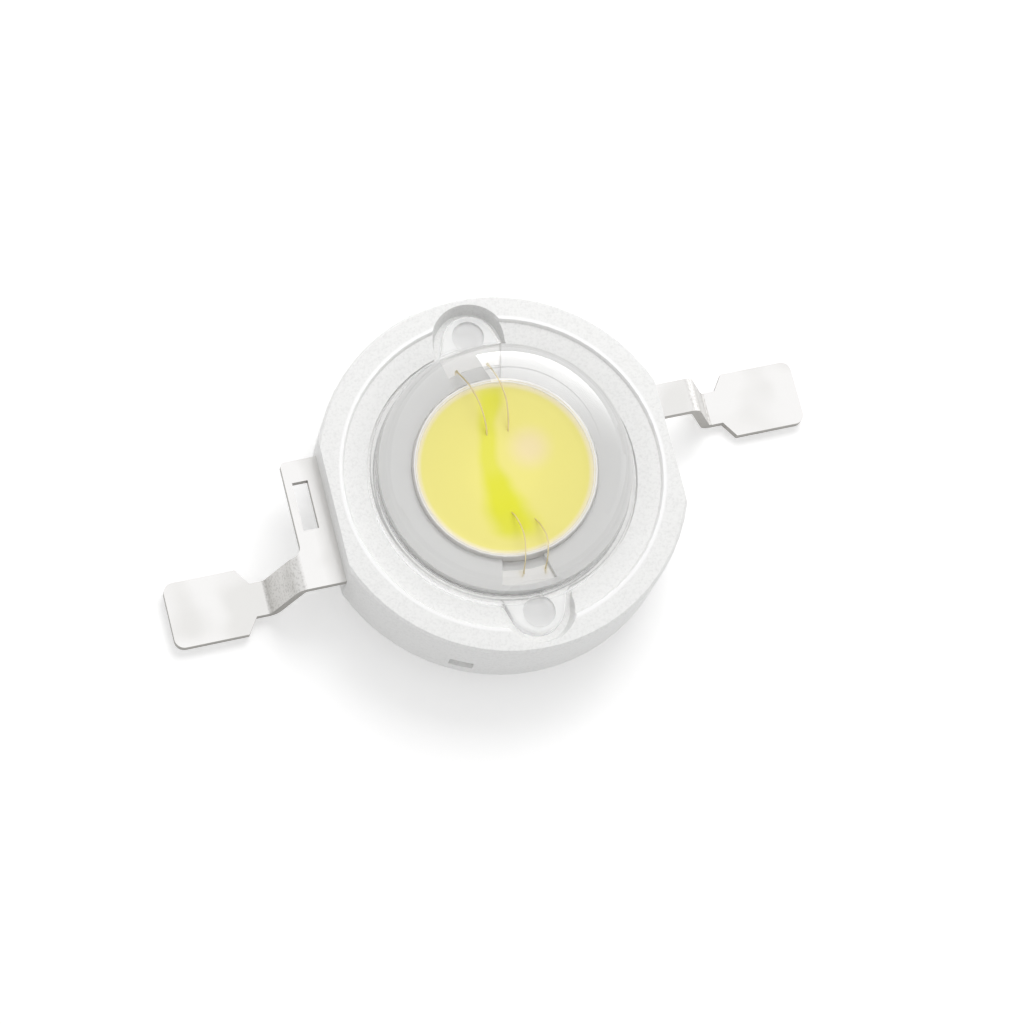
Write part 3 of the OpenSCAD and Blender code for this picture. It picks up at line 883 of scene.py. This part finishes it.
def levelByRay(tree, asLight, asSeen):
    # one strength for the light it gives, another for how it looks straight on, in a mirror and
    # through glass
    rays = addNode(tree, "ShaderNodeLightPath").outputs
    seen = addNode(tree, "ShaderNodeMath", {0: rays["Is Camera Ray"], 1: rays["Is Glossy Ray"]},
                   operation="MAXIMUM").outputs[0]
    seen = addNode(tree, "ShaderNodeMath", {0: seen, 1: rays["Is Transmission Ray"]},
                   operation="MAXIMUM").outputs[0]
    return addNode(tree, "ShaderNodeMapRange", {
        "Value": seen, "To Min": asLight, "To Max": asSeen}).outputs[0]


def stageMaterial(name):
    material = bpy.data.materials.new(name)
    material.use_nodes = True
    tree = material.node_tree
    tree.nodes.remove(tree.nodes["Principled BSDF"])
    return material, tree, tree.nodes["Material Output"].inputs["Surface"]


def addStagePiece(name, corners, faces, material):
    mesh = bpy.data.meshes.new(name)
    mesh.from_pydata([Vector(corner) * mm for corner in corners], [], faces)
    mesh.materials.append(material)
    piece = bpy.data.objects.new(name, mesh)
    bpy.context.scene.collection.objects.link(piece)
    return piece


def makeSurround():
    world = bpy.data.worlds.new("white surround")
    bpy.context.scene.world = world
    world.use_nodes = True
    background = world.node_tree.nodes["Background"]
    background.inputs["Color"].default_value = (1, 1, 1, 1)
    world.node_tree.links.new(levelByRay(world.node_tree, studio["surround"], 1.0),
                              background.inputs["Strength"])


def makePaper():
    paper, tree, surface = stageMaterial("white paper")
    glow = addNode(tree, "ShaderNodeEmission", {
        "Strength": levelByRay(tree, 0.0, studio["paperGlow"])})
    matt = addNode(tree, "ShaderNodeBsdfDiffuse", {"Color": toLinear(studio["paper"])})
    both = addNode(tree, "ShaderNodeAddShader", {0: glow.outputs[0], 1: matt.outputs[0]})
    tree.links.new(both.outputs[0], surface)
    half = studio["paperSize"] / 2
    corners = [(-half, -half, 0), (half, -half, 0), (half, half, 0), (-half, half, 0)]
    addStagePiece("paper", corners, [(0, 1, 2, 3)], paper)


def makeCards():  # only mirrors see these: they give the dome its bright crescent
    for name, (inner, outer, innerZ, outerZ, strength) in studio["cards"].items():
        card, tree, surface = stageMaterial(name)
        coords = addNode(tree, "ShaderNodeTexCoord").outputs["Object"]
        place = addNode(tree, "ShaderNodeSeparateXYZ", {0: coords}).outputs
        bearing = addNode(tree, "ShaderNodeMath", {0: place["Y"], 1: place["X"]},
                          operation="ARCTAN2").outputs[0]
        fadeFrom, fadeTo = (math.radians(bound) for bound in studio["cardFade"])
        level = addNode(tree, "ShaderNodeMapRange", {
            "Value": bearing, "From Min": fadeFrom, "From Max": fadeTo,
            "To Min": 1.0, "To Max": strength}, interpolation_type="SMOOTHSTEP").outputs[0]
        glow = addNode(tree, "ShaderNodeEmission", {"Strength": level})
        tree.links.new(glow.outputs[0], surface)
        steps = studio["cardSteps"]
        first, last = (math.radians(bound) for bound in studio["cardEnds"])
        turns = [first + (last - first) * i / steps for i in range(steps + 1)]
        corners = [(r * math.cos(a), r * math.sin(a), z)
                   for r, z in ((inner, innerZ), (outer, outerZ)) for a in turns]
        faces = [(i, i + 1, i + steps + 2, i + steps + 1) for i in range(steps)]
        piece = addStagePiece(name, corners, faces, card)
        piece.visible_camera = piece.visible_diffuse = False
        piece.visible_transmission = piece.visible_shadow = False


def makeKey():
    key = studio["key"]
    lamp = bpy.data.lights.new("key", "AREA")
    lamp.size = key["size"] * mm
    lamp.energy = key["power"]
    lampObject = bpy.data.objects.new("key", lamp)
    lampObject.location = Vector(key["place"]) * mm
    lampObject.rotation_euler = Vector(key["place"]).to_track_quat("Z", "Y").to_euler()
    lampObject.visible_glossy = lampObject.visible_transmission = False
    bpy.context.scene.collection.objects.link(lampObject)


makeSurround()
makePaper()
makeCards()
makeKey()
print("studio lit")

# Camera: a long lens from high on the left front, rolled a little, as in the photograph
cameraView = {
    "azimuth": -39.164,
    "elevation": 71.173,
    "roll": 26.101,
    "distance": 80,
    "aim": (0.188, -0.611, 1.376),
    "lens": 130.78,
    "sensor": 36,
    "clip": (0.005, 5),  # metres
}


def makeCamera():
    view = cameraView
    azimuth, elevation, roll = (math.radians(view[k]) for k in ("azimuth", "elevation", "roll"))
    level = math.cos(elevation)
    back = Vector((math.sin(azimuth) * level, -math.cos(azimuth) * level, math.sin(elevation)))
    right = (-back).cross(Vector((0, 0, 1))).normalized()
    up = back.cross(right)
    across = right * math.cos(roll) + up * math.sin(roll)
    upward = back.cross(across)
    camera = bpy.data.cameras.new("camera")
    camera.lens = view["lens"]
    camera.sensor_width = view["sensor"]
    camera.clip_start, camera.clip_end = view["clip"]
    cameraObject = bpy.data.objects.new("camera", camera)
    place = Matrix.Translation((Vector(view["aim"]) + back * view["distance"]) * mm)
    turn = Matrix((across, upward, back)).transposed().to_4x4()
    cameraObject.matrix_world = place @ turn
    bpy.context.scene.collection.objects.link(cameraObject)
    bpy.context.scene.camera = cameraObject


makeCamera()
bpy.context.scene.view_settings.view_transform = "Standard"
print("camera placed")
